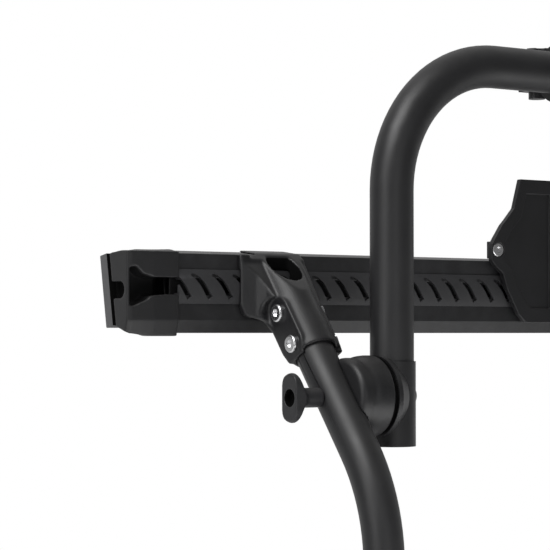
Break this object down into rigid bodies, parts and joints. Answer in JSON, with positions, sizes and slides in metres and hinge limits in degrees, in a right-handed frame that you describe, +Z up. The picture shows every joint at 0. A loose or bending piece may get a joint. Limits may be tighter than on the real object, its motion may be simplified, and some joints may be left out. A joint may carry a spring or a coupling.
{
  "type": "van rear door bike carrier",
  "caption": "Bike carrier for a van's rear door: a crossbar rail on the door, side tubes, a tilting hoop with clamp arms, and a folding platform with wheel trays.",
  "frame": {"origin": "centre of the upper door bolt pattern, on the door side face of the door bracket", "axes": "+X across the van to the right seen from behind it, +Y towards the door, +Z up"},
  "size_m": [1.28, 0.636, 1.0268],
  "materials": {
    "black_rail": "anodised satin black",
    "black_cast": "fine textured black powder coat",
    "black_tube": "satin black powder coat",
    "black_plastic": "fine grain moulded black",
    "ribbed_plastic": "satin moulded dark grey",
    "grey_pad": "soft dark grey rubber",
    "black_rubber": "matt black rubber",
    "zinc_bolt": "bright zinc plated",
    "tray_metal": "anodised satin black"
  },
  "bodies": {
    "frame": {"upper_rail": "black_rail", "rear_pads": "grey_pad", "end_cap_left": "black_plastic", "end_cap_right": "black_plastic", "infill_left": "ribbed_plastic", "infill_right": "ribbed_plastic", "tube_bracket_left": "black_cast", "tube_bracket_right": "black_cast", "bracket_bolts": "zinc_bolt", "rail_clamp_bolts": "zinc_bolt", "door_bracket": "black_cast", "centre_cover": "black_cast", "cover_bolts": "zinc_bolt", "side_tube_left": "black_tube", "side_tube_right": "black_tube", "hub_fixed_left": "black_cast", "hub_fixed_right": "black_cast", "lower_crossbar": "black_tube", "standoff_left": "black_tube", "standoff_right": "black_tube", "foot_pads": "black_rubber", "hinge_fork_left": "black_cast", "hinge_fork_right": "black_cast", "hinge_pins": "zinc_bolt", "hinge_bolts": "zinc_bolt"},
    "hoop": {"hoop": "black_tube", "hub_moving_left": "black_cast", "hub_moving_right": "black_cast"},
    "platform": {"platform_arm_left": "black_tube", "platform_arm_right": "black_tube", "cross_tubes": "black_tube", "tray_inner": "tray_metal", "tray_outer": "tray_metal", "tray_caps": "black_plastic", "tray_bolts": "zinc_bolt"},
    "hub_knob_left": {"hub_knob_left": "black_plastic"},
    "hub_knob_right": {"hub_knob_right": "black_plastic"},
    "bike_arm_short": {"bike_collar_short": "black_cast", "bike_boom_short": "black_tube"},
    "bike_clamp_knob_short": {"bike_clamp_knob_short": "black_plastic"},
    "bike_slide_jaw_short": {"bike_slide_jaw_short": "black_cast"},
    "bike_slide_knob_short": {"bike_slide_knob_short": "black_plastic"},
    "bike_arm_long": {"bike_collar_long": "black_cast", "bike_boom_long": "black_tube"},
    "bike_clamp_knob_long": {"bike_clamp_knob_long": "black_plastic"},
    "bike_slide_jaw_long": {"bike_slide_jaw_long": "black_cast"},
    "bike_slide_knob_long": {"bike_slide_knob_long": "black_plastic"},
    "wheel_holder_inner_left": {"wheel_holder_inner_left": "black_plastic", "wheel_strap_inner_left": "black_rubber"},
    "wheel_lever_inner_left": {"wheel_lever_inner_left": "black_plastic"},
    "wheel_holder_inner_right": {"wheel_holder_inner_right": "black_plastic", "wheel_strap_inner_right": "black_rubber"},
    "wheel_lever_inner_right": {"wheel_lever_inner_right": "black_plastic"},
    "wheel_holder_outer_left": {"wheel_holder_outer_left": "black_plastic", "wheel_strap_outer_left": "black_rubber"},
    "wheel_lever_outer_left": {"wheel_lever_outer_left": "black_plastic"},
    "wheel_holder_outer_right": {"wheel_holder_outer_right": "black_plastic", "wheel_strap_outer_right": "black_rubber"},
    "wheel_lever_outer_right": {"wheel_lever_outer_right": "black_plastic"}
  },
  "joints": [
    {"name": "hoop_tilt", "type": "hinge", "parent": "frame", "child": "hoop", "pos_m": [0, -0.133, -0.088], "axis": [1, 0, 0], "range_deg": [-15, 90]},
    {"name": "hub_knob_left_turn", "type": "hinge", "parent": "frame", "child": "hub_knob_left", "pos_m": [-0.318, -0.133, -0.088], "axis": [1, 0, 0], "continuous": true},
    {"name": "hub_knob_right_turn", "type": "hinge", "parent": "frame", "child": "hub_knob_right", "pos_m": [0.318, -0.133, -0.088], "axis": [1, 0, 0], "continuous": true},
    {"name": "platform_fold", "type": "hinge", "parent": "frame", "child": "platform", "pos_m": [0, -0.246, -0.684], "axis": [-1, 0, 0], "range_deg": [0, 90]},
    {"name": "bike_arm_short_swivel", "type": "hinge", "parent": "hoop", "child": "bike_arm_short", "pos_m": [-0.048, -0.133, 0.2038], "axis": [-1, 0, 0], "range_deg": [0, 90]},
    {"name": "bike_clamp_knob_short_turn", "type": "hinge", "parent": "bike_arm_short", "child": "bike_clamp_knob_short", "pos_m": [-0.048, -0.087, 0.2038], "axis": [0, 0, 1], "continuous": true},
    {"name": "bike_slide_jaw_short_slide", "type": "slide", "parent": "bike_arm_short", "child": "bike_slide_jaw_short", "axis": [0, 1, 0], "range_m": [0, 0.04]},
    {"name": "bike_slide_knob_short_turn", "type": "hinge", "parent": "bike_slide_jaw_short", "child": "bike_slide_knob_short", "pos_m": [-0.048, -0.311, 0.1738], "axis": [0, 0, 1], "continuous": true},
    {"name": "bike_arm_long_swivel", "type": "hinge", "parent": "hoop", "child": "bike_arm_long", "pos_m": [0.048, -0.133, 0.2038], "axis": [-1, 0, 0], "range_deg": [0, 90]},
    {"name": "bike_clamp_knob_long_turn", "type": "hinge", "parent": "bike_arm_long", "child": "bike_clamp_knob_long", "pos_m": [0.048, -0.087, 0.2038], "axis": [0, 0, 1], "continuous": true},
    {"name": "bike_slide_jaw_long_slide", "type": "slide", "parent": "bike_arm_long", "child": "bike_slide_jaw_long", "axis": [0, 1, 0], "range_m": [0, 0.04]},
    {"name": "bike_slide_knob_long_turn", "type": "hinge", "parent": "bike_slide_jaw_long", "child": "bike_slide_knob_long", "pos_m": [0.048, -0.531, 0.1738], "axis": [0, 0, 1], "continuous": true},
    {"name": "wheel_holder_inner_left_slide", "type": "slide", "parent": "platform", "child": "wheel_holder_inner_left", "axis": [1, 0, 0], "range_m": [-0.05, 0.05]},
    {"name": "wheel_lever_inner_left_flip", "type": "hinge", "parent": "wheel_holder_inner_left", "child": "wheel_lever_inner_left", "pos_m": [-0.5, -0.3845, -0.6685], "axis": [1, 0, 0], "range_deg": [0, 80]},
    {"name": "wheel_holder_inner_right_slide", "type": "slide", "parent": "platform", "child": "wheel_holder_inner_right", "axis": [1, 0, 0], "range_m": [-0.05, 0.05]},
    {"name": "wheel_lever_inner_right_flip", "type": "hinge", "parent": "wheel_holder_inner_right", "child": "wheel_lever_inner_right", "pos_m": [0.5, -0.3845, -0.6685], "axis": [1, 0, 0], "range_deg": [0, 80]},
    {"name": "wheel_holder_outer_left_slide", "type": "slide", "parent": "platform", "child": "wheel_holder_outer_left", "axis": [1, 0, 0], "range_m": [-0.05, 0.05]},
    {"name": "wheel_lever_outer_left_flip", "type": "hinge", "parent": "wheel_holder_outer_left", "child": "wheel_lever_outer_left", "pos_m": [-0.5, -0.6045, -0.6685], "axis": [1, 0, 0], "range_deg": [0, 80]},
    {"name": "wheel_holder_outer_right_slide", "type": "slide", "parent": "platform", "child": "wheel_holder_outer_right", "axis": [1, 0, 0], "range_m": [-0.05, 0.05]},
    {"name": "wheel_lever_outer_right_flip", "type": "hinge", "parent": "wheel_holder_outer_right", "child": "wheel_lever_outer_right", "pos_m": [0.5, -0.6045, -0.6685], "axis": [1, 0, 0], "range_deg": [0, 80]}
  ]
}
